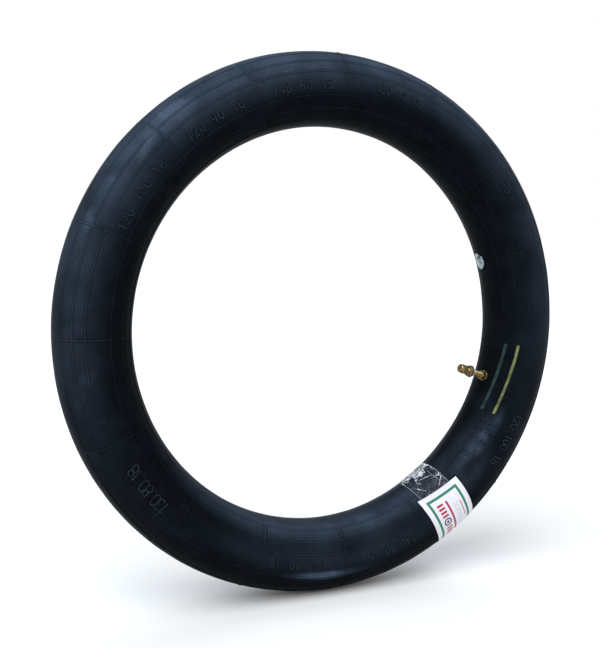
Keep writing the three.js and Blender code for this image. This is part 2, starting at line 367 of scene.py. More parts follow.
def plain(name, dark, light, rough, scale, shine):
    """A matt plastic or moulded rubber with slight mottling."""
    g = Graph(name)
    cloud = g.noise(scale, 4, 0.6)
    g.set(Base_Color=g.mix(g.ramp(cloud, 0.3, 0.7), dark, light))
    g.set(Roughness=g.ramp(cloud, 0.3, 0.7, rough, rough + 0.15), Specular_IOR_Level=shine)
    g.set(Normal=g.bump(g.noise(scale * 6, 3, 0.6), 0.25, 0.0001))
    return g.material


def ink(name, dark, light):
    """Marking ink brushed on rubber: streaky, thin in places, so the black shows through."""
    g = Graph(name)
    thin = g.noise(650, 4, 0.65)
    colour = g.mix(g.ramp(g.noise(130, 3, 0.6), 0.36, 0.64), dark, light)
    g.set(Base_Color=g.mix(g.ramp(thin, 0.58, 0.72), colour, tuple(0.35 * c for c in dark)))
    g.set(Roughness=g.ramp(thin, 0.3, 0.7, 0.5, 0.7), Specular_IOR_Level=0.2)
    g.set(Normal=g.bump(thin, 0.3, 0.0001))
    return g.material


class Print:
    """Flat printed shapes on a sheet whose UV map holds millimetres; each is 1 inside and 0 outside."""

    SOFT = 0.12                             # half the width of a printed shape's soft edge

    def __init__(self, graph):
        self.g = graph
        self.u, self.v = graph.sheet_place()

    def near(self, value, centre, half):
        distance = self.g.math("ABSOLUTE", self.g.math("SUBTRACT", value, centre))
        return self.g.ramp(distance, half - self.SOFT, half + self.SOFT, 1.0, 0.0)

    def block(self, u0, u1, v0, v1):
        a = self.near(self.u, (u0 + u1) / 2, (u1 - u0) / 2)
        b = self.near(self.v, (v0 + v1) / 2, (v1 - v0) / 2)
        return self.g.math("MULTIPLY", a, b)

    def frame(self, u0, u1, v0, v1, width):
        outer = self.block(u0, u1, v0, v1)
        inner = self.block(u0 + width, u1 - width, v0 + width, v1 - width)
        return self.g.math("SUBTRACT", outer, inner, clamp=True)

    def ring(self, u, v, radius, width):
        du = self.g.math("POWER", self.g.math("SUBTRACT", self.u, u), 2.0)
        dv = self.g.math("POWER", self.g.math("SUBTRACT", self.v, v), 2.0)
        return self.near(self.g.math("SQRT", self.g.math("ADD", du, dv)), radius, width / 2)

    def dots(self, u0, u1, v0, v1, pitch, radius):
        def off_squared(value, start):
            cells = self.g.math("DIVIDE", self.g.math("SUBTRACT", value, start), pitch)
            off_middle = self.g.math("SUBTRACT", self.g.math("FRACT", cells), 0.5)
            return self.g.math("POWER", self.g.math("MULTIPLY", off_middle, pitch), 2.0)

        squares = self.g.math("ADD", off_squared(self.u, u0), off_squared(self.v, v0))
        soft = 0.1
        spot = self.g.ramp(self.g.math("SQRT", squares), radius - soft, radius + soft, 1.0, 0.0)
        return self.g.math("MULTIPLY", spot, self.block(u0, u1, v0, v1))


def any_of(g, masks):
    """The strongest of several masks at each spot."""
    total = masks[0]
    for mask in masks[1:]:
        total = g.math("MAXIMUM", total, mask)
    return total


# The print on the paper band, in millimetres: u across the band, v from the visible end.
PAPER_WIDTH = 54.0
END_TILT = 3.15                             # how far the paper's end edge leads at each side
BORDER_IN, BORDER_WIDTH = 6.0, 3.0
REPEAT_PAST_MIDDLE = 4.0                    # the marks' second copy starts this far past the middle
# Blocks are given as u from and to, then v from and to.
WIDE_RULE = (-2.0, 0.6, 15.0, 64.0)
FINE_RULE = (14.0, 15.0, 24.0, 46.0)
BAR_ACROSS, BAR_STARTS = (-13.5, -5.5), (15.0, 46.0)
BAR_COUNT, BAR_PITCH, BAR_WIDTH = 4, 4.6, 2.7
EYE_U, EYE_V = -9.5, 38.5                   # a ring with a dot in it
EYE_RADIUS, EYE_LINE, EYE_DOT = 4.3, 1.8, 1.8
DOT_FIELD = (4.5, 11.0, 22.0, 62.0)
DOT_PITCH, DOT_RADIUS = 3.2, 0.62


def moved(block, start):
    """A block moved along the paper."""
    return block[0], block[1], start + block[2], start + block[3]


def printed_paper(length):
    """White paper with a green border, red and dark marks and grey dots, all of a plain design."""
    g = Graph("printed_paper")
    p = Print(g)
    half = PAPER_WIDTH / 2
    edge = half - BORDER_IN
    green = p.frame(-edge, edge, BORDER_IN, length - BORDER_IN, BORDER_WIDTH)
    red, dark, grey = [], [], []
    for start in (0.0, length / 2 + REPEAT_PAST_MIDDLE):
        red.append(p.block(*moved(WIDE_RULE, start)))
        for step in range(BAR_COUNT):
            for first in BAR_STARTS:
                low = start + first + BAR_PITCH * step
                red.append(p.block(*BAR_ACROSS, low, low + BAR_WIDTH))
        dark.append(p.ring(EYE_U, start + EYE_V, EYE_RADIUS, EYE_LINE))
        dark.append(p.ring(EYE_U, start + EYE_V, EYE_DOT / 2, EYE_DOT))
        grey.append(p.dots(*moved(DOT_FIELD, start), DOT_PITCH, DOT_RADIUS))
        red.append(p.block(*moved(FINE_RULE, start)))
    paper = g.mix(g.ramp(g.noise(900, 4, 0.6), 0.35, 0.7), (0.64, 0.625, 0.68), (0.72, 0.70, 0.76))
    colour = g.mix(green, paper, (0.012, 0.165, 0.088))
    colour = g.mix(any_of(g, red), colour, (0.36, 0.022, 0.05))
    colour = g.mix(any_of(g, dark), colour, (0.03, 0.04, 0.08))
    colour = g.mix(any_of(g, grey), colour, (0.22, 0.23, 0.27))
    g.set(Base_Color=colour, Roughness=g.ramp(g.noise(300, 3, 0.5), 0.3, 0.7, 0.5, 0.62))
    g.set(Normal=g.bump(g.noise(2600, 3, 0.6), 0.15, 0.00005))
    return g.material


def clear_film(half, paper_edge):
    """Clear tape, crumpled: nearly unseen, but whitened in thin creases, which is stress-whitening together
    with painted highlights, and with painted highlights in patches on the rim side and along its side
    edges.
    """
    g = Graph("clear_film")
    place = g.place()
    small, large = 115.0, 46.0                  # the two sizes of facet, as facets in a metre
    folds = g.add("TexVoronoi", {"Vector": place, "Scale": small}, feature="DISTANCE_TO_EDGE")
    wide = g.add("TexVoronoi", {"Vector": place, "Scale": large}, feature="DISTANCE_TO_EDGE")
    facet = g.add("TexVoronoi", {"Vector": place, "Scale": small}, out=1)
    u, v = g.sheet_place()
    from_middle = g.math("ABSOLUTE", g.math("SUBTRACT", v, 180.0))
    crowded = g.ramp(from_middle, 2.0, 32.0, 1.0, 0.0)
    broken = g.ramp(g.math("ADD", g.noise(110, 3, 0.6), g.math("MULTIPLY", crowded, 0.05)), 0.54, 0.60)
    line = g.math("MULTIPLY", g.ramp(folds, 0.0, 0.045, 0.95, 0.0), broken)
    long_line = g.ramp(wide, 0.0, 0.020, 0.65, 0.0)
    long_line = g.math("MULTIPLY", long_line, g.ramp(g.noise(70, 2, 0.5), 0.45, 0.58))
    shade = g.ramp(g.noise(230, 3, 0.6), 0.35, 0.65, 0.25, 0.85)
    # White patches crowded on the rim side: painted highlights.
    glint_patch = g.math("MULTIPLY", g.ramp(facet, 0.60, 0.66), g.math("MULTIPLY", crowded, shade))
    # The side edges are painted lighter: painted highlights.
    from_edge = g.math("SUBTRACT", half, g.math("ABSOLUTE", u))
    rim = g.ramp(from_edge, 0.2, 0.9, 0.5, 0.0)
    slope = math.degrees(END_TILT * MM / TUBE) / (PAPER_WIDTH / 2)
    lead = g.math("MULTIPLY", u, slope)
    past_edge = g.math("SUBTRACT", g.math("SUBTRACT", from_middle, lead), paper_edge)
    on_bare = g.ramp(past_edge, -1.5, 0.5, 1.0, 0.0)
    crease_white_and_glint = g.math("MULTIPLY", any_of(g, [glint_patch, line, long_line, rim]), on_bare)
    # Near-white crease colour, partly stress-whitening and partly painted highlight.
    g.set(Base_Color=g.mix(crease_white_and_glint, (0.05, 0.065, 0.09), (0.80, 0.82, 0.90)))
    unseen = g.ramp(on_bare, 0.0, 1.0, 0.02, 0.07)
    g.set(Alpha=g.math("MAXIMUM", unseen, crease_white_and_glint), Roughness=0.12, Specular_IOR_Level=0.6)
    g.set(Coat_Weight=0.5, Coat_Roughness=0.06)
    g.set(Normal=g.bump(g.noise(420, 3, 0.6), 0.2, 0.0003))
    return g.material


def silver_foil():
    """A brushed foil sticker under a clear coat, coloured in patches from dark teal to pale silver as
    painted reflections.
    """
    g = Graph("silver_foil")
    cloud = g.noise(150, 3, 0.5)
    along_x = g.add("Mapping", {"Vector": g.place(), "Scale": (0.15, 1.0, 1.0)})
    brushed = g.noise(900, 2, 0.5, along_x)
    # Dark teal and pale silver patches of colour: painted reflections.
    g.set(Base_Color=g.mix(g.ramp(cloud, 0.46, 0.62), (0.016, 0.032, 0.036), (0.24, 0.29, 0.33)))
    g.set(Metallic=1.0, Roughness=g.ramp(cloud, 0.3, 0.7, 0.16, 0.34), Coat_Weight=0.3)
    g.set(Normal=g.bump(brushed, 0.25, 0.0001))
    return g.material


tube_rubber = rubber("tube_rubber")
base_rubber = plain("base_rubber", (0.0016, 0.0022, 0.0030), (0.0034, 0.0046, 0.0062), 0.5, 320, 0.014)
seal_rubber = plain("seal_rubber", (0.012, 0.012, 0.013), (0.03, 0.03, 0.032), 0.6, 900, 0.3)
# The brass is coloured far darker than clean brass, as painted shade over the whole metal.
brass = metal("brass", (0.09, 0.065, 0.03), (0.30, 0.22, 0.10), 0.24)
nickel = metal("nickel", (0.17, 0.17, 0.16), (0.40, 0.39, 0.37), 0.26)
steel = metal("steel", (0.38, 0.39, 0.41), (0.62, 0.63, 0.65), 0.24)
red_seal = plain("red_seal", (0.30, 0.035, 0.025), (0.45, 0.06, 0.04), 0.4, 1200, 0.5)
yellow_ink = ink("yellow_ink", (0.050, 0.060, 0.018), (0.155, 0.18, 0.070))
green_ink = ink("green_ink", (0.003, 0.010, 0.010), (0.009, 0.034, 0.031))

# ---------- the tube ----------

RIB_HEIGHT = 0.62 * MM
RIB_HALF = 0.80 * MM
GROOVE_DEPTH = 0.14 * MM                    # the shallow hollow at each foot of a rib
SIDE_RIBS = (28, 50, 69, 105, 125, 147)     # section angles of the ribs that run round each side
CROSS_FIRST, CROSS_STEP, CROSS_COUNT = 19, 23, 15
CROSS_LAST = 358                            # the last cross rib closes the pattern short
CROSS_RIBS = [CROSS_FIRST + CROSS_STEP * k for k in range(CROSS_COUNT)] + [CROSS_LAST]
RIM_RIBS = 60                               # ribs past this section angle stop short of the valve
VALVE_FADE, VALVE_NEAR = (14, 24), 20       # ring angles from the valve where ribs come back
CROSS_KEPT, TREAD_KEPT = 0.45, 0.55         # share of their height that the others keep by the valve
TREAD_FADE, RIM_FADE = (6, 16), (138, 152)  # section angles where cross ribs come up and die out


def bead(offset):
    """A rib's profile at an offset from its middle: 1 on its crest, negative in the hollows beside it."""
    share = abs(offset) / RIB_HALF
    if share < 1:
        return 0.5 * (1 + math.cos(math.pi * share))
    if share < 2:
        return -GROOVE_DEPTH / RIB_HEIGHT * math.sin(math.pi * (share - 1))
    return 0.0


def rib_share(ring, around):
    """How much of a rib's height stands at a spot, from the hollow beside it to its crest."""
    side = abs(wrapped(around))
    near_valve = abs(wrapped(ring - VALVE_RING))
    clear = smooth(*VALVE_FADE, near_valve)
    found = []
    for rib in SIDE_RIBS:
        offset = math.radians(side - rib) * TUBE
        found.append(bead(offset) * (clear if rib > RIM_RIBS else TREAD_KEPT + (1 - TREAD_KEPT) * clear))
    window = smooth(*TREAD_FADE, side) * (1 - smooth(*RIM_FADE, side))
    window *= 1.0 if near_valve > VALVE_NEAR else CROSS_KEPT
    for rib in CROSS_RIBS:
        offset = math.radians(wrapped(ring - rib)) * (RING + TUBE * math.cos(math.radians(around)))
        found.append(bead(offset) * window)
    top = max(found)
    return top if top > 0.02 else max(found, key=abs)


def swell(ring, around):
    """Slow waves in the rubber, a fraction of a millimetre."""
    p = surface(ring, around)
    return 0.28 * MM * noise.noise(p * 14) + 0.10 * MM * noise.noise(p * 55)


def patch_of(ring, around, centre, half_ring, half_around):
    """How near a spot is to the middle of an oval patch: 1 there, and 0 from its edge on."""
    a = wrapped(ring - centre[0]) / half_ring
    b = wrapped(around - centre[1]) / half_around
    return smooth(0.0, 1.0, 1 - math.hypot(a, b))


# Where talc and scuffs lie, and where broad pale patches on the upper and upward-facing parts are painted
# sky light, on both sides alike:
# ring and section angle of the middle, reach along and across, how much lies there evenly, and how much in
# blots.
TALC_AND_PAINTED_LIGHT = (
    (140, 44, 28, 28, 0.16, 0.70), (136, 30, 86, 92, 0.38, 0.0), (190, 66, 52, 44, 0.05, 0.10),
    (88, 42, 62, 70, 0.42, 0.0), (40, 46, 66, 72, 0.22, 0.0), (267, 71, 13, 10, 0.8, 0.6),
    (270, 150, 80, 40, 0.50, 0.1), (272, 100, 55, 42, 0.16, 0.0), (0, 74, 64, 74, 0.09, 0.0),
    (327, 126, 10, 22, 0.20, 0.45), (321, 130, 7, 18, 0.22, 0.45), (315, 132, 10, 14, 0.22, 0.3),
    (331, 117, 6, 11, 0.18, 0.3), (312, 112, 20, 32, 0.12, 0.1),
)


def talc_and_painted_light(ring, around):
    """How thickly talc and scuffs lie at a spot, with painted sky light in the same patches, from 0 to 1.
    """
    p = surface(ring, around)
    cloud = 0.5 + 0.5 * noise.fractal(p * 26, 0.8, 2.2, 4)
    blot = smooth(0.50, 0.78, 0.5 + 0.5 * noise.fractal(p * 38 + Vector((3, 1, 7)), 0.9, 2.1, 3))
    total = 0.0
    for ring_mid, around_mid, half_ring, half_around, evenly, blots in TALC_AND_PAINTED_LIGHT:
        near = patch_of(ring, abs(wrapped(around)), (ring_mid, around_mid), half_ring, half_around)
        if near > 0:
            total += near * (evenly * (0.5 + cloud) + blots * blot)
    return min(1.0, total)


def with_details(base, centres, offsets, clear):
    """Even stops, with finer ones across each rib."""
    fine = [c + o for c in centres for o in offsets]
    kept = [b for b in base if all(abs(wrapped(b - c)) > clear for c in centres)]
    return sorted(x % 360 for x in kept + fine)


AROUND_STOPS, RING_STOPS = 144, 360         # even stops of the mesh round the section and the ring
RIB_STOPS = (-2.0, -1.55, -1.15, -0.85, -0.55, -0.27, 0.0, 0.27, 0.55, 0.85, 1.15, 1.55, 2.0)
RIB_CLEAR = 2.4                             # these two are in rib half widths from a rib's middle
CREST_WEAR_AND_HIGHLIGHT, BARE_CREST_SHARE = 0.80, 0.22          # how much a rib's crest is painted lighter, as rubbing together with painted highlight, and the share of that where no talc lies


def build_tube():
    """The rubber ring: one closed mesh, finer across the ribs, with its talc and wear painted on, together
    with painted sky light, painted highlights on rib crests and painted shade in the hollows beside the
    ribs.
    """
    half = degrees_round(RIB_HALF)
    side_ribs = [r % 360 for rib in SIDE_RIBS for r in (rib, -rib)]
    even_stops = [360 / AROUND_STOPS * k for k in range(AROUND_STOPS)]
    arounds = with_details(even_stops, side_ribs, [half * k for k in RIB_STOPS], half * RIB_CLEAR)
    half = degrees_along(RIB_HALF)
    even_stops = [360 / RING_STOPS * k for k in range(RING_STOPS)]
    rings = with_details(even_stops, CROSS_RIBS, [half * k for k in RIB_STOPS], half * RIB_CLEAR)
    points, talc_and_painted_light_values, crests = [], [], []
    for ring in rings:
        for around in arounds:
            share = rib_share(ring, around)
            hollow = max(0.0, -share) * RIB_HEIGHT / GROOVE_DEPTH
            points.append(surface(ring, around, RIB_HEIGHT * share + swell(ring, around)))
            # Talc and painted sky light are kept out of the hollows beside the ribs, so they stay darker:
            # painted shade.
            talc_and_painted_light_values.append(talc_and_painted_light(ring, around) * (1 - 0.9 * hollow))
            talc_and_painted_light_share = min(1.0, 3 * talc_and_painted_light_values[-1])
            # Rib crests are painted lighter, as rubbing together with painted highlight.
            crests.append(CREST_WEAR_AND_HIGHLIGHT * smooth(0.40, 1.0, share) * (BARE_CREST_SHARE + (1 - BARE_CREST_SHARE) * talc_and_painted_light_share))
    faces = [tuple(reversed(f)) for f in loop_faces(len(rings), len(arounds))]
    tube = new_object("tube", points, faces, "root", tube_rubber, ["tube_shell"])
    paint(tube, "talc_and_painted_light", talc_and_painted_light_values)
    paint(tube, "crest", crests)


build_tube()

# ---------- moulded numerals ----------

STROKE_HALF = 0.85 * MM
STROKE_HEIGHT = 1.05 * MM
STROKE_SIDES = 12
STROKE_STEEP = 0.6                          # below 1, a stroke's sides stand steeper than an ellipse's
# How much the tops of the strokes are painted lighter, as rubbing together with painted highlight.
STROKE_WEAR_AND_HIGHLIGHT = 0.72


def arc(cx, cy, rx, ry, start, end, count):
    """Points along part of an ellipse, from one angle to another."""
    angles = [math.radians(start + (end - start) * k / count) for k in range(count + 1)]
    return [(cx + rx * math.cos(a), cy + ry * math.sin(a)) for a in angles]


# Strokes of each numeral in a cell one unit high, x to the right and y up.
GLYPHS = {
    "0": [arc(0.27, 0.5, 0.27, 0.5, 90, 450, 20)],
    "1": [[(0.10, 0.80), (0.27, 1.0), (0.27, 0.0)]],
    "2": [arc(0.27, 0.74, 0.26, 0.26, 165, -35, 10) + [(0.02, 0.0), (0.54, 0.0)]],
    "3": [arc(0.26, 0.75, 0.24, 0.25, 150, -80, 10) + arc(0.26, 0.26, 0.27, 0.26, 75, -150, 10)],
    "4": [[(0.42, 0.0), (0.42, 1.0), (0.0, 0.30), (0.56, 0.30)]],
    "8": [arc(0.27, 0.76, 0.22, 0.24, -90, 270, 16), arc(0.27, 0.27, 0.27, 0.27, 90, 450, 16)],
    "9": [arc(0.28, 0.70, 0.25, 0.30, 0, 360, 16), [(0.53, 0.70), (0.50, 0.35), (0.22, 0.0)]],
    ".": [[(0.0, 0.06), (0.10, 0.06)]],
}
GLYPH_WIDTH = {".": 0.10, "1": 0.40}
DIGIT_WIDTH = 0.54

# Size marks: start angle on the ring, text, section angle of the foot of the numerals, height,
# and pitch. They read clockwise with their feet towards the hole.
SIZE_MARKS = (
    (108, "140.80.18", 96, 9.0, 7.9), (131, "120.90.18", 96, 9.0, 7.9),
    (156, "120.100.18", 96, 9.0, 8.0), (222, "130.80.18", 92, 12.5, 6.4),
    (267, "130.90.18", 96, 9.0, 7.9), (292, "140.80.18", 95, 9.0, 7.0),
    (335, "120.100.18", 93, 9.5, 6.7), (81, "130.80.18", 92, 7.5, 6.4),
    (38, "18", 92, 10.0, 7.4),
)


def stroke_tube(path, points, faces):
    """Adds one raised stroke: a half-sunk rounded bead along a path of (ring, section) angles."""
    spots = [surface(ring, around) for ring, around in path]
    count = len(spots)
    closed = (spots[0] - spots[-1]).length < STROKE_HALF * 0.2
    start = len(points)
    if closed:
        spots, path = spots[:-1], path[:-1]
        count -= 1
    for k, spot in enumerate(spots):
        before = spots[k - 1] if k or closed else spots[k]
        after = spots[(k + 1) % count] if k + 1 < count or closed else spots[k]
        way = (after - before).normalized()
        up = outward(*path[k])
        across = way.cross(up).normalized()
        for m in range(STROKE_SIDES):
            angle = 2 * math.pi * m / STROKE_SIDES
            steep = math.copysign(abs(math.sin(angle)) ** STROKE_STEEP, math.sin(angle))
            points.append(spot + across * STROKE_HALF * math.cos(angle) + up * STROKE_HEIGHT * steep)
    links = count if closed else count - 1
    for k in range(links):
        here, there = start + k * STROKE_SIDES, start + (k + 1) % count * STROKE_SIDES
        for m in range(STROKE_SIDES):
            after = (m + 1) % STROKE_SIDES
            faces.append((here + m, here + after, there + after, there + m))
    if not closed:
        for k, flip in ((0, True), (count - 1, False)):
            tip = [start + k * STROKE_SIDES + m for m in range(STROKE_SIDES)]
            faces.append(tuple(reversed(tip)) if flip else tuple(tip))


def write_mark(mark, side, points, faces):
    """Adds one size mark's strokes, on the front (side 1) or reading from the back (side -1)."""
    ring, text, base, height, pitch = mark
    middle = ring - degrees_along(len(text) * pitch * MM / 2, base)
    for place, letter in enumerate(text):
        width = GLYPH_WIDTH.get(letter, DIGIT_WIDTH) * height
        x = pitch * place + (pitch - width) / 2
        for stroke in GLYPHS[letter]:
            path = []
            for gx, gy in subdivided(stroke):
                around = base - degrees_round(gy * height * MM)
                shift = degrees_along((x + gx * height) * MM, around)
                spot = ring - shift if side > 0 else 2 * middle - (ring - shift)
                path.append((spot, around * side))
            stroke_tube(path, points, faces)


def subdivided(stroke, longest=0.12):
    """The stroke with extra points on its long straights, so that it follows the tube."""
    dense = [stroke[0]]
    for (x0, y0), (x1, y1) in zip(stroke, stroke[1:]):
        parts = max(1, math.ceil(math.hypot(x1 - x0, y1 - y0) / longest))
        dense += [(x0 + (x1 - x0) * k / parts, y0 + (y1 - y0) * k / parts) for k in range(1, parts + 1)]
    return dense


def build_marks():
    """All the raised numerals on both sides, as one piece."""
    points, faces = [], []
    for side in (1, -1):
        for mark in SIZE_MARKS:
            write_mark(mark, side, points, faces)
    marks = new_object("size_numerals", points, faces, "root", tube_rubber)
    # The top of each stroke is painted lighter, as rubbing together with painted highlight.
    tops = [math.sin(2 * math.pi * (k % STROKE_SIDES) / STROKE_SIDES) for k in range(len(points))]
    paint(marks, "crest", [STROKE_WEAR_AND_HIGHLIGHT * smooth(0.60, 1.0, top) for top in tops])


build_marks()

# ---------- pips across the splice ----------

PIP_RINGS = (323.5, 326.15, 328.8)
PIP_AROUNDS = (109.5, 118.0, 126.5, 135.0, 143.5)


def build_pips():
    """The rows of small moulded pips across the scuffed splice, on both sides of the tube."""
    points, faces = [], []
    sides, radius, height, sunk = 10, 1.15 * MM, 0.5 * MM, 0.4 * MM
    levels = ((0.6, 0.8 * height), (1.0, 0.0), (0.9, -sunk))    # share of the radius, and height
    for ring in PIP_RINGS:
        for around in PIP_AROUNDS + tuple(-a for a in PIP_AROUNDS):
            start = len(points)
            points.append(surface(ring, around, height))
            for reach, lift in levels:
                for k in range(sides):
                    angle = 2 * math.pi * k / sides
                    spot = around + degrees_round(reach * radius * math.sin(angle))
                    shift = degrees_along(reach * radius * math.cos(angle), spot)
                    points.append(surface(ring + shift, spot, lift))
            first = start + 1
            faces += [(start, first + k, first + (k + 1) % sides) for k in range(sides)]
            faces += band_faces(first, len(levels), sides)
            faces.append(tuple(first + 2 * sides + k for k in reversed(range(sides))))
    new_object("splice_pips", points, faces, "root", base_rubber)


build_pips()

# ---------- the valve's rubber base ----------


def build_base():
    """The oval base, even round the stem and thinning to a feather edge."""
    patch = [v.co - foot for v in frame["nodes"]["valve_patch"].data.vertices]
    along = max(p.dot(ring_way) for p in patch)
    across = max(p.dot(cross_way) for p in patch)
    hole = along_valve("valve_patch")[3]
    top, feather, sunk = 1.75 * MM, 0.05 * MM, 0.5 * MM
    steps, rows = 96, 30
    ring_scale = RING + TUBE * math.cos(math.radians(VALVE_AROUND))

    def spot(radius, angle, height):
        ring = VALVE_RING + math.degrees(radius * math.cos(angle) / ring_scale)
        tilt = math.asin(min(0.99, radius * math.sin(angle) / TUBE))
        return surface(ring, VALVE_AROUND + math.degrees(tilt), height)

    def edge(angle):
        return 1 / math.hypot(math.cos(angle) / along, math.sin(angle) / across)

    points = []
    for i in range(steps):
        angle = 2 * math.pi * i / steps
        for j in range(rows):
            share = j / (rows - 1)
            skin = feather + (top - feather) * (1 - smooth(0.45, 1.0, share))
            points.append(spot(hole + (edge(angle) - hole) * share, angle, skin))
        points.append(spot(edge(angle), angle, -sunk))
        points.append(spot(hole, angle, -sunk))
    faces = loop_faces(steps, rows + 2)
    base = new_object("valve_base", points, [tuple(reversed(f)) for f in faces], "root",
                      base_rubber, ["valve_patch"])
    sharpen(base, 50)


build_base()

# ---------- the valve's metal ----------

PITCH = 25.4 * MM / 32
THREAD_RADIUS = 3.875 * MM
THREAD_DEPTH = 0.42 * MM
FLANK, CREST_FLAT = 1.25, 0.12              # the slope of a thread's flanks, and how flat its crests are


def thread_cut(height, angle):
    """Depth of a right-hand thread at a height and an angle."""
    share = (height / PITCH - angle / (2 * math.pi)) % 1.0
    slope = abs(2 * share - 1)
    return THREAD_DEPTH * min(1.0, max(0.0, FLANK * slope - CREST_FLAT))


def build_stem():
    """The stem: its flange in the tube, a cut thread with a chamfered end, and the bore for the core."""
    low, high, flange, bore = along_valve("valve_stem")
    radius, flange_top = THREAD_RADIUS, -3.1 * MM
    mouth, mouth_edge = 2.7 * MM, 0.2 * MM
    seat, seat_high, seat_low, seat_cone = 2.2 * MM, 31.2 * MM, 17.4 * MM, 0.5 * MM
    bore_high = 16.5 * MM
    tip, run_in = 0.9 * MM, 1.2 * MM            # the thread fades out over these lengths at its ends
    thread_low, thread_high = 1.0 * MM, high - tip
    step = PITCH / 8
    count = int((thread_high - thread_low) / step)

    def profile(angle):
        loop = [(flange, low), (flange, flange_top), (radius, flange_top), (radius, thread_low)]
        for k in range(1, count):
            height = thread_low + k * step
            fade = smooth(0, run_in, height - thread_low) * smooth(0, tip, thread_high - height)
            loop.append((radius - thread_cut(height, angle) * fade, height))
        loop += [(radius - 0.3 * MM, thread_high), (radius - 0.75 * MM, high), (mouth + 0.15 * MM, high)]
        loop += [(mouth, high - mouth_edge), (mouth, seat_high + seat_cone), (seat, seat_high)]
        return loop + [(seat, seat_low), (bore, bore_high), (bore, low)]

    revolve("threaded_stem", 48, profile, "root", brass, ["valve_stem"])


def hexagon(angle, flats):
    """The reach of a hexagon at an angle, for its width over its flats."""
    return flats / 2 / math.cos((angle + math.pi / 6) % (math.pi / 3) - math.pi / 6)


def build_hex_nut():
    """The hexagon nut, its corners turned off by a cone at both faces."""
    low, high, corner, bore = along_valve("hex_nut")
    flats = corner * 2 * math.cos(math.pi / 6)
    cone = flats / 2 + 0.12 * MM                # the cone's radius at each face
    slope = math.tan(math.radians(60))
    chamfer = 0.35 * MM
    rows = 12

    def profile(angle):
        side = hexagon(angle, flats)
        loop = []
        for k in range(rows + 1):
            height = low + (high - low) * k / rows
            reach = cone + min(height - low, high - height) * slope
            loop.append((min(side, reach), height))
        loop += [(bore + chamfer, high), (bore, high - chamfer)]
        return loop + [(bore, low + chamfer), (bore + chamfer, low)]

    revolve("clamp_nut_brass", 144, profile, "clamp_nut", brass, ["hex_nut"])


def grip(low, high, inner, outer, fade, rows):
    """A profile's points along knurled teeth, which fade out over a share of their length."""
    loop = []
    for k in range(rows + 1):
        share = k / rows
        blend = smooth(0, fade, share) * smooth(0, fade, 1 - share)
        loop.append((inner + (outer - inner) * blend, low + (high - low) * share))
    return loop


def knurled(name, node, body, teeth, depth, chamfer):
    """A knurled ring: fine rounded teeth that fade into the chamfers."""
    low, high, reach, bore = along_valve(node)
    edge = 0.3 * MM

    def profile(angle):
        tooth = depth * (0.5 + 0.5 * math.cos(teeth * angle))
        outer = reach - tooth
        plain_reach = reach - depth
        loop = [(plain_reach - chamfer, low), (plain_reach - chamfer * 0.3, low + chamfer * 0.4)]
        loop += grip(low + chamfer, high - chamfer, plain_reach, outer, 0.12, 8)
        loop += [(plain_reach - chamfer * 0.3, high - chamfer * 0.4), (plain_reach - chamfer, high)]
        return loop + [(bore + edge, high), (bore, high - edge), (bore, low + edge), (bore + edge, low)]

    revolve(name, teeth * 6, profile, body, brass, [node])


def build_washer(name, node, body, finish):
    """A stamped round washer with rolled edges and the faint rings of its turning."""
    low, high, reach, bore = along_valve(node)
    roll, line = 0.22 * MM, 0.04 * MM           # line is the depth of the turned rings
    rows = 8

    def profile(angle):
        loop = [(reach - roll, low), (reach, low + roll), (reach, high - roll), (reach - roll, high)]
        for k in range(1, rows):
            radius = reach - roll - (reach - bore - 2 * roll) * k / rows
            loop.append((radius, high - (line if k % 2 else 0.0)))
        return loop + [(bore + roll, high), (bore, high - roll), (bore, low + roll), (bore + roll, low)]

    revolve(name, 96, profile, body, finish, [node])


def build_cap():
    """The dust cap: knurled skirt, a smooth band, and a domed crown."""
    low, high, reach, _ = along_valve("cap_shell")
    ceiling = along_valve("cap_seal")[1] + 0.3 * MM
    bore = THREAD_RADIUS + 0.25 * MM
    teeth, depth = 24, 0.35 * MM
    lip, mouth, tip = 0.3 * MM, 0.4 * MM, 0.02 * MM
    grip_low, grip_high, shoulder = low + 1.2 * MM, high - 3.2 * MM, high - 1.9 * MM
    crown_rows = 8

    def profile(angle):
        tooth = depth * (0.5 + 0.5 * math.cos(teeth * angle))
        plain_reach = reach - depth
        loop = [(plain_reach - lip, low), (plain_reach, low + mouth)]
        loop += grip(grip_low, grip_high, plain_reach, reach - tooth, 0.1, 12)
        loop.append((plain_reach, shoulder))
        for k in range(1, crown_rows + 1):
            turn = math.pi / 2 * k / crown_rows
            height = shoulder + (high - shoulder) * math.sin(turn)
            loop.append((plain_reach * math.cos(turn) + tip, height))
        return loop + [(tip, ceiling), (bore, ceiling), (bore, low + mouth), (bore + mouth, low)]

    revolve("dust_cap", teeth * 6, profile, "cap", brass, ["cap_shell"])


build_stem()
build_hex_nut()
build_washer("clamp_washer_plate", "foot_washer", "clamp_washer", brass)
build_washer("rim_washer_plate", "flat_washer", "rim_washer", nickel)
knurled("rim_nut_brass", "ring_nut", "rim_nut", 36, 0.35 * MM, 0.45 * MM)
build_cap()


def build_spring():
    """The valve core's coil spring, wound evenly from its low end to its high end."""
    low, high, reach, bore = along_valve("core_spring")
    wire = (reach - bore) / 2
    coil = (reach + bore) / 2
    turns, steps, sides = 7, 24, 10
    count = turns * steps + 1
    points = []
    for k in range(count):
        angle = 2 * math.pi * k / steps
        height = low + wire + (high - low - 2 * wire) * k / (count - 1)
        for m in range(sides):
            tilt = 2 * math.pi * m / sides
            points.append(on_valve(coil + wire * math.cos(tilt), height + wire * math.sin(tilt), angle))
    faces = band_faces(0, count, sides)
    faces.append(tuple(range(sides)))
    faces.append(tuple((count - 1) * sides + m for m in reversed(range(sides))))
    spring = new_object("coil_spring", points, faces, "root", steel, ["core_spring"])
    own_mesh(spring)


build_spring()

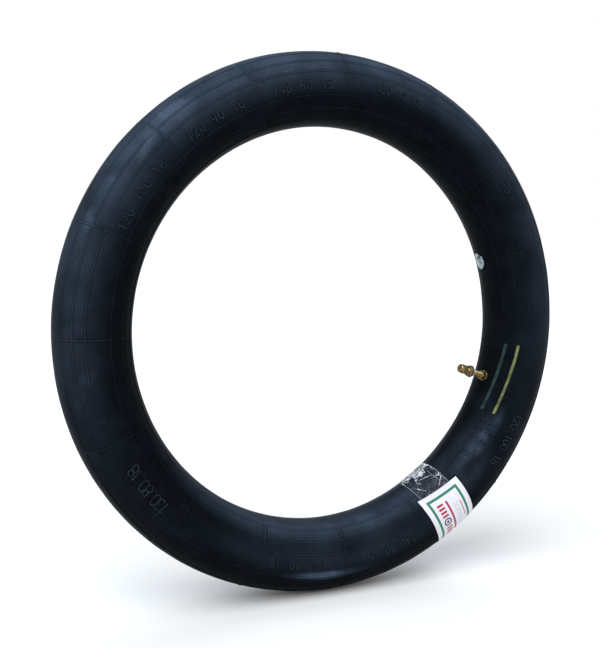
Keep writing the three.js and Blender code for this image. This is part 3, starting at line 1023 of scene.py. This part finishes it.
CORE_FINISH = {
    "core_head": nickel, "core_gasket": red_seal, "core_barrel": brass, "core_pin": steel,
    "pin_collar": brass, "core_cup": brass, "cup_seal": seal_rubber, "cap_seal": seal_rubber,
}
for node, material in CORE_FINISH.items():
    mesh = frame["nodes"][node].data
    mesh.materials.clear()
    mesh.materials.append(material)

# ---------- paper band, tape, stripes and sticker ----------

PAPER_SHIFT = 0.5                           # degrees that it lies off its node's middle
PAPER_ASKEW, ASKEW_END = 0.6, 60.0          # degrees at its visible end, and where they run out
# How far the paper and the tape lie off the rubber, in millimetres.
PAPER_LIFT, PAPER_SHEET, PAPER_RIPPLE = 0.75, 0.12, 0.30
PAPER_EDGE_LIFT, PAPER_EDGE_WAVE, PAPER_END_LIFT = 0.25, 0.35, 0.25
TAPE_LIFT, TAPE_SHEET, TAPE_CURL, TAPE_OVER_PAPER = 0.40, 0.06, 0.45, 0.85
TAPE_LAP = 9                                # degrees of the section that it lies on the paper
LARGE_FOLD, SMALL_FOLD = 1.9, 0.55


def build_paper():
    """The paper band: one width all along, laid a little askew, with slightly lifted edges."""
    ring_low, ring_high, around_low, around_high = spans("paper_band")
    centre = (ring_low + ring_high) / 2 - PAPER_SHIFT
    length = math.radians(around_high - around_low) * TUBE / MM
    half = PAPER_WIDTH / 2
    us = even(-half, half, 72)
    vs = even(0.0, length, 200)

    def point(u, v, side):
        lead = END_TILT * (u / half) * math.cos(math.pi * v / length)
        around = around_high - math.degrees((v + lead) * MM / TUBE)
        askew = PAPER_ASKEW * (1 - smooth(0.0, ASKEW_END, v))
        ring = centre + askew + degrees_along(u * MM, around)
        edge = smooth(0.80, 1.0, abs(u) / half)
        end = smooth(0.95, 1.0, abs(2 * v / length - 1))
        ripple = noise.noise(Vector((u * 0.07, v * 0.06, 3.1)))
        wave = noise.noise(Vector((v * 0.05, u * 0.02, 9.0)))
        lift = PAPER_LIFT + PAPER_RIPPLE * ripple + PAPER_END_LIFT * end
        lift += edge * (PAPER_EDGE_LIFT + PAPER_EDGE_WAVE * wave)
        return surface(ring, around, (lift + PAPER_SHEET * side) * MM)

    slab("paper_wrap", us, vs, point, printed_paper(length), "paper_band")


def crumple(u, v):
    """Height of the tape's folds, in millimetres: flat facets that meet in sharp creases."""
    p = Vector((u * 0.13, v * 0.10, 2.0))
    large, _ = noise.voronoi(p + Vector((0, 0, 0.35 * noise.noise(p * 1.7))))
    small, _ = noise.voronoi(p * 2.3)
    large_ridge = 0.55 - min(0.55, large[1] - large[0])
    small_ridge = 0.5 - min(0.5, small[1] - small[0])
    return LARGE_FOLD * large_ridge + SMALL_FOLD * small_ridge


def build_film():
    """The clear tape, crumpled and slack over the rim side."""
    ring_low, ring_high, _, _ = spans("clear_tape")
    paper_end = spans("paper_band")[3]
    centre = (ring_low + ring_high) / 2
    half = math.radians((ring_high - ring_low) / 2) * (RING - TUBE) / MM
    first, last = paper_end - TAPE_LAP, 360 - paper_end + TAPE_LAP
    us = even(-half, half, 96)
    vs = even(first, last, 230)

    def point(u, v, side):
        ring = centre + degrees_along(u * MM, v)
        edge = smooth(0.86, 1.0, abs(u) / half)
        over_paper = 1 - smooth(paper_end, paper_end + 6, 180 - abs(180 - v))
        slack = crumple(u, math.radians(v) * TUBE / MM) * (1 - 0.6 * edge) * (1 - 0.8 * over_paper)
        curl = TAPE_CURL * smooth(0.94, 1.0, abs(u) / half)
        lift = TAPE_LIFT + slack + curl + TAPE_OVER_PAPER * over_paper
        return surface(ring, v, (lift + TAPE_SHEET * side) * MM)

    slab("tape_film", us, vs, point, clear_film(half, 180 - paper_end), "clear_tape")


def build_stripe(name, node, material, width):
    """A brushed stripe from its node's one end to the other, a little bowed, with uneven edges."""
    ring_low, ring_high, around_low, around_high = spans(node)
    half = degrees_round(width / 2)
    us = even(ring_low, ring_high, 120)
    vs = even(-1.0, 1.0, 9)

    def point(u, v, side):
        share = (u - ring_low) / (ring_high - ring_low)
        bow = 0.8 * math.sin(math.pi * share)
        middle = (around_high - half) + (around_low - around_high + 2 * half) * share + bow
        rough = 1 + 0.10 * noise.noise(Vector((u * 3.0, v * 0.5, half)))
        rough *= smooth(-0.012, 0.012, share) * smooth(-0.012, 0.012, 1 - share)
        height = 0.5 * RIB_HEIGHT + 0.12 * MM * side * (1 - v * v)
        return surface(u, middle + v * half * rough, height)

    slab(name, us, vs, point, material, node)


def build_sticker():
    """The silver sticker: a low dome that follows the tube, with a rolled rim."""
    vertices = [v.co for v in frame["nodes"]["foil_sticker"].data.vertices]
    middle = sum(vertices, Vector()) / len(vertices)
    ring = math.degrees(math.atan2(middle.z, middle.x))
    around = math.degrees(math.atan2(-middle.y, math.hypot(middle.x, middle.z) - RING)) % 360
    radius = 10 * MM
    edge_height, crown, rim_height, sunk = 0.45 * MM, 0.9 * MM, 0.35 * MM, 0.3 * MM
    rim_place, rim_width = 0.93, 0.035          # shares of the radius
    steps, rows = 72, 18
    points = [surface(ring, around, edge_height + crown)]
    for j in range(1, rows + 1):
        share = j / rows
        dome = edge_height + crown * (1 - share * share)
        rim = rim_height * math.exp(-((share - rim_place) / rim_width) ** 2)
        height = dome + rim if j < rows else -sunk
        for i in range(steps):
            angle = 2 * math.pi * i / steps
            reach = radius * min(share * 1.02, 1.0)
            spot = around + degrees_round(reach * math.sin(angle))
            points.append(surface(ring + degrees_along(reach * math.cos(angle), spot), spot, height))
    faces = [(0, 1 + i, 1 + (i + 1) % steps) for i in range(steps)]
    faces += band_faces(1, rows, steps)
    last = 1 + (rows - 1) * steps
    faces.append(tuple(last + i for i in reversed(range(steps))))
    sticker = new_object("silver_sticker", points, faces, "root", silver_foil(), ["foil_sticker"])
    sharpen(sticker, 50)


build_paper()
build_film()
build_stripe("yellow_stripe", "stripe_yellow", yellow_ink, 3.2 * MM)
build_stripe("green_stripe", "stripe_green", green_ink, 3.7 * MM)
build_sticker()

# ---------- floor, light and camera ----------


def build_floor():
    """The plain pale floor, under the object's lowest point."""
    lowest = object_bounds()[0].z
    half = 30.0
    mesh = bpy.data.meshes.new("floor")
    corners = [(x * half, y * half, lowest) for x, y in ((-1, -1), (1, -1), (1, 1), (-1, 1))]
    mesh.from_pydata(corners, [], [(0, 1, 2, 3)])
    g = Graph("floor_paint")
    g.set(Base_Color=g.mix(g.noise(2.5, 2, 0.5), (0.80, 0.785, 0.775), (0.83, 0.815, 0.805)), Roughness=0.9)
    g.set(Specular_IOR_Level=0.0)
    mesh.materials.append(g.material)
    placed("floor", mesh)


def build_sky():
    """Studio walls as a world: white from the floor to well above the view, dimmer overhead."""
    world = bpy.data.worlds.new("studio")
    bpy.context.scene.world = world
    world.use_nodes = True
    nodes, links = world.node_tree.nodes, world.node_tree.links
    split = nodes.new("ShaderNodeSeparateXYZ")
    links.new(nodes.new("ShaderNodeTexCoord").outputs["Generated"], split.inputs[0])
    fall = nodes.new("ShaderNodeMapRange")
    links.new(split.outputs["Z"], fall.inputs["Value"])
    for socket, value in (("From Min", 0.27), ("From Max", 0.45), ("To Min", 1.0), ("To Max", 0.40)):
        fall.inputs[socket].default_value = value
    background = nodes["Background"]
    background.inputs["Color"].default_value = (1.0, 1.0, 1.0, 1)
    links.new(fall.outputs["Result"], background.inputs["Strength"])


def add_sun(name, towards, strength, spread, colour):
    """A soft light far away, which lights the whole floor evenly; spread is its width in degrees."""
    data = bpy.data.lights.new(name, "SUN")
    data.energy = strength
    data.angle = math.radians(spread)
    data.color = colour
    light = placed(name, data)
    light.rotation_mode = "QUATERNION"
    light.rotation_quaternion = (-Vector(towards)).to_track_quat("-Z", "Y")


def build_lights():
    bpy.context.scene.view_settings.view_transform = "Standard"
    build_sky()
    add_sun("softbox", (-0.55, -0.50, 1.0), 3.1, 58, (0.90, 0.96, 1.0))
    add_sun("back_fill", (0.45, 0.70, 0.80), 1.2, 60, (0.72, 0.86, 1.0))


# The view: the camera stands a little to the left of the ring's axis and above its middle.
VIEW_AZIMUTH, VIEW_ELEVATION = -25.28, 5.74
VIEW_DISTANCE = 4.164                       # in ring radii
VIEW_TARGET = (-0.1145, 0.0, 0.014)         # in ring radii
LENS = 53.7


def build_camera():
    a, e = math.radians(VIEW_AZIMUTH), math.radians(VIEW_ELEVATION)
    back = Vector((math.sin(a) * math.cos(e), -math.cos(a) * math.cos(e), math.sin(e)))
    data = bpy.data.cameras.new("camera")
    data.lens = LENS
    data.sensor_width = 36
    camera = placed("camera", data)
    camera.location = back * VIEW_DISTANCE * RING
    aim = Vector(VIEW_TARGET) * RING - camera.location
    camera.rotation_mode = "QUATERNION"
    camera.rotation_quaternion = aim.to_track_quat("-Z", "Y")
    bpy.context.scene.camera = camera


build_floor()
build_lights()
build_camera()
